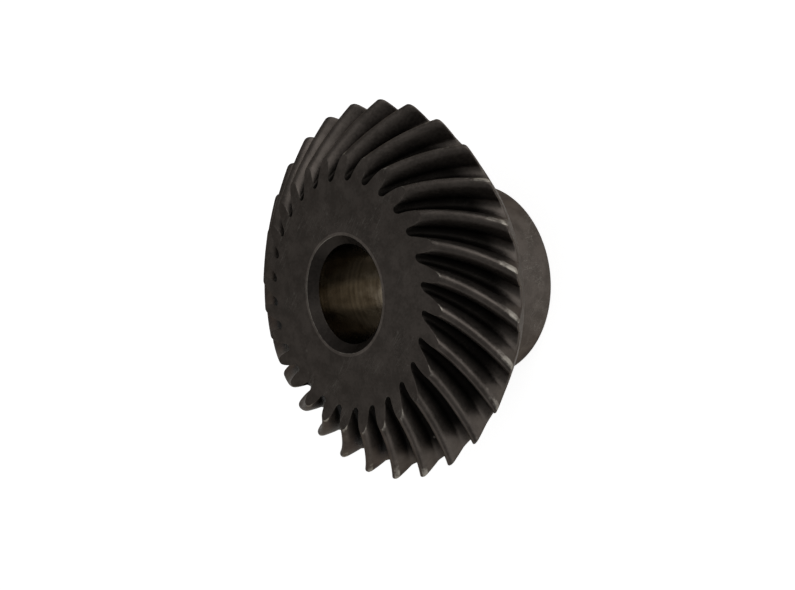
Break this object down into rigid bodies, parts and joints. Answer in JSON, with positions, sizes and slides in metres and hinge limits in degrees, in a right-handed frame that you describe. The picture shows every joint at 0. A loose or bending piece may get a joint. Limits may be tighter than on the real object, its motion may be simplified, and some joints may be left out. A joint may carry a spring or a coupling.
{
  "type": "spiral bevel gear",
  "caption": "Spiral bevel gear with right-hand teeth on a cone, a flat front face, a plain chamfered bore and a hub behind.",
  "frame": {"origin": "on the gear's axis, in the plane of the hub's end face that it stands on", "axes": "+Z along the bore axis, from the hub's end to the toothed front face; the cone apex lies on +Z above the front face"},
  "size_m": [0.0574, 0.0574, 0.029],
  "materials": {
    "black_oxide_steel": "matte black oxide, worn bright on the tooth edges, bore bare"
  },
  "bodies": {
    "root": {"bevel_gear": "black_oxide_steel"}
  },
  "joints": []
}
